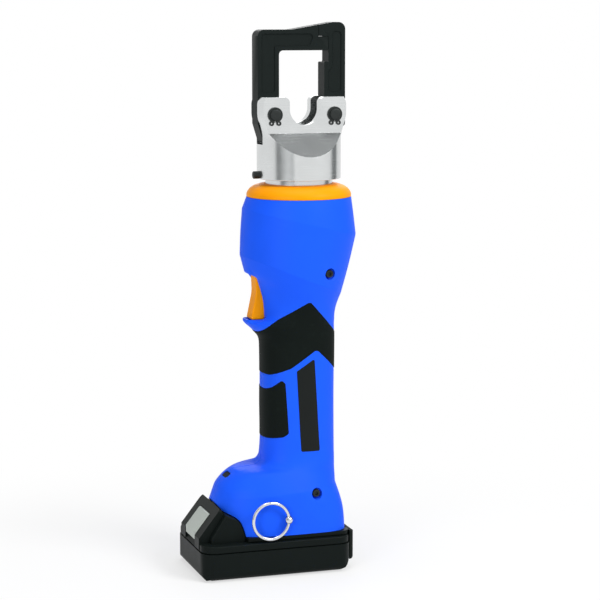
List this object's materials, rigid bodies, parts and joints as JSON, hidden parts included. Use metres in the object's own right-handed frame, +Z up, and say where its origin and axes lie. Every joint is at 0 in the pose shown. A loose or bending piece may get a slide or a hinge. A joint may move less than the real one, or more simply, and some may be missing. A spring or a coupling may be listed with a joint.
{
  "type": "hydraulic crimping tool",
  "caption": "Hand-held battery hydraulic crimping tool: upright blue handle with trigger, swivelling steel head and a hinged, latching crimping frame.",
  "frame": {"origin": "middle of the part's box at the floor, under the battery pack; the head's axis stands 20.75 mm behind it", "axes": "+Z up the tool to the crimping head, -X to the trigger side, -Y to the lanyard side"},
  "size_m": [0.1234, 0.081, 0.3923],
  "materials": {
    "housing_blue": "semi-matte moulded plastic",
    "accent_yellow": "satin moulded plastic",
    "black_rubber": "matt rubber",
    "black_plastic": "fine textured plastic",
    "grey_plastic": "satin plastic",
    "clear_lens": "clear moulded lens",
    "board_green": "solder mask",
    "bright_wire": "bright plated wire",
    "dark_paint": "dark satin paint on forged steel",
    "blackened_steel": "black oxide",
    "machined_steel": "turned and milled steel",
    "plain_steel": "plain steel",
    "cast_aluminium": "machined casting",
    "brass": "plain brass",
    "copper_core": "laminations with copper winding",
    "cell_can": null
  },
  "bodies": {
    "housing": {"left_shell": "housing_blue", "right_shell": "housing_blue", "nose_ring": "accent_yellow", "left_grip_band": "black_rubber", "right_grip_band": "black_rubber", "left_grip_pad": "black_rubber", "right_grip_pad": "black_rubber", "shell_screws": "blackened_steel", "work_light": "clear_lens", "battery_shoe": "black_plastic", "heel_guard": "black_plastic", "terminal_block": "black_plastic", "control_board": "board_green", "lanyard_stud": "bright_wire", "trigger_pin": "plain_steel", "trigger_switch": "black_plastic", "trigger_spring": "plain_steel", "motor_can": "plain_steel", "motor_end_bell": "black_plastic", "motor_bearings": "plain_steel", "gear_flange": "plain_steel", "ring_gear": "plain_steel", "carrier_bearing": "plain_steel", "pump_block": "cast_aluminium", "pump_plunger": "plain_steel", "plunger_spring": "plain_steel", "check_valves": "plain_steel", "return_valve": "brass", "oil_bladder": "black_rubber", "neck": "machined_steel", "neck_seal": "black_rubber"},
    "head": {"head_fork": "machined_steel", "swivel_screw": "blackened_steel", "yoke_pin": "blackened_steel", "latch_pin": "blackened_steel", "retaining_rings": "blackened_steel"},
    "yoke": {"yoke": "dark_paint"},
    "latch": {"latch_arm": "dark_paint"},
    "ram": {"ram": "machined_steel", "ram_seal": "black_rubber", "return_spring": "plain_steel"},
    "trigger": {"trigger": "accent_yellow"},
    "rotor": {"rotor": "copper_core", "sun_pinion": "plain_steel"},
    "carrier": {"planet_carrier": "plain_steel", "eccentric_bearing": "plain_steel"},
    "planet_1": {"planet_gear_1": "plain_steel"},
    "planet_2": {"planet_gear_2": "plain_steel"},
    "planet_3": {"planet_gear_3": "plain_steel"},
    "battery": {"battery_lower_case": "black_plastic", "battery_upper_case": "black_plastic", "cells": "cell_can", "cell_straps": "plain_steel", "battery_contacts": "brass", "button_spring": "plain_steel", "battery_screws": "blackened_steel"},
    "release_button": {"release_button": "grey_plastic"},
    "lanyard_ring": {"lanyard_ring": "bright_wire"}
  },
  "joints": [
    {"name": "head_swivel", "type": "hinge", "parent": "housing", "child": "head", "pos_m": [0.02075, 0, 0.29], "axis": [0, 0, 1], "continuous": true},
    {"name": "latch_swing", "type": "hinge", "parent": "head", "child": "latch", "pos_m": [0.04285, 0, 0.3277], "axis": [0, 1, 0], "range_deg": [0, 80]},
    {"name": "yoke_rock", "type": "hinge", "parent": "head", "child": "yoke", "pos_m": [-0.00135, 0, 0.3277], "axis": [0, -1, 0], "range_deg": [0, 6]},
    {"name": "ram_slide", "type": "slide", "parent": "housing", "child": "ram", "axis": [0, 0, 1], "range_m": [0, 0.02], "stiffness_N_per_m": 3000, "springref_m": -0.01, "deforming": ["return_spring"]},
    {"name": "trigger_pull", "type": "hinge", "parent": "housing", "child": "trigger", "pos_m": [-0.00625, 0, 0.2085], "axis": [0, -1, 0], "range_deg": [0, 7], "stiffness_Nm_per_rad": 1, "springref_deg": -8.59, "deforming": ["trigger_spring"]},
    {"name": "battery_slide", "type": "slide", "parent": "housing", "child": "battery", "axis": [-1, 0, 0], "range_m": [0, 0.11]},
    {"name": "button_press", "type": "slide", "parent": "battery", "child": "release_button", "axis": [-0.6164, 0, -0.7874], "range_m": [0, 0.0035], "stiffness_N_per_m": 800, "springref_m": -0.004, "deforming": ["button_spring"]},
    {"name": "ring_swing", "type": "hinge", "parent": "housing", "child": "lanyard_ring", "pos_m": [0.0013, -0.0374, 0.0412], "axis": [0, 0, 1], "range_deg": [0, 170]},
    {"name": "rotor_spin", "type": "hinge", "parent": "housing", "child": "rotor", "pos_m": [0.02075, 0, 0.13], "axis": [0, 0, 1], "continuous": true},
    {"name": "carrier_spin", "type": "hinge", "parent": "housing", "child": "carrier", "pos_m": [0.02075, 0, 0.17], "axis": [0, 0, 1], "continuous": true},
    {"name": "planet_1_spin", "type": "hinge", "parent": "carrier", "child": "planet_1", "pos_m": [0.02975, 0, 0.17], "axis": [0, 0, 1], "continuous": true},
    {"name": "planet_2_spin", "type": "hinge", "parent": "carrier", "child": "planet_2", "pos_m": [0.01625, 0.00779, 0.17], "axis": [0, 0, 1], "continuous": true},
    {"name": "planet_3_spin", "type": "hinge", "parent": "carrier", "child": "planet_3", "pos_m": [0.01625, -0.00779, 0.17], "axis": [0, 0, 1], "continuous": true}
  ],
  "couplings": [
    {"joint": "yoke_rock", "follows": "latch_swing", "ratio": 0.075},
    {"joint": "carrier_spin", "follows": "rotor_spin", "ratio": 0.2},
    {"joint": "planet_1_spin", "follows": "rotor_spin", "ratio": -0.53333},
    {"joint": "planet_2_spin", "follows": "rotor_spin", "ratio": -0.53333},
    {"joint": "planet_3_spin", "follows": "rotor_spin", "ratio": -0.53333}
  ]
}
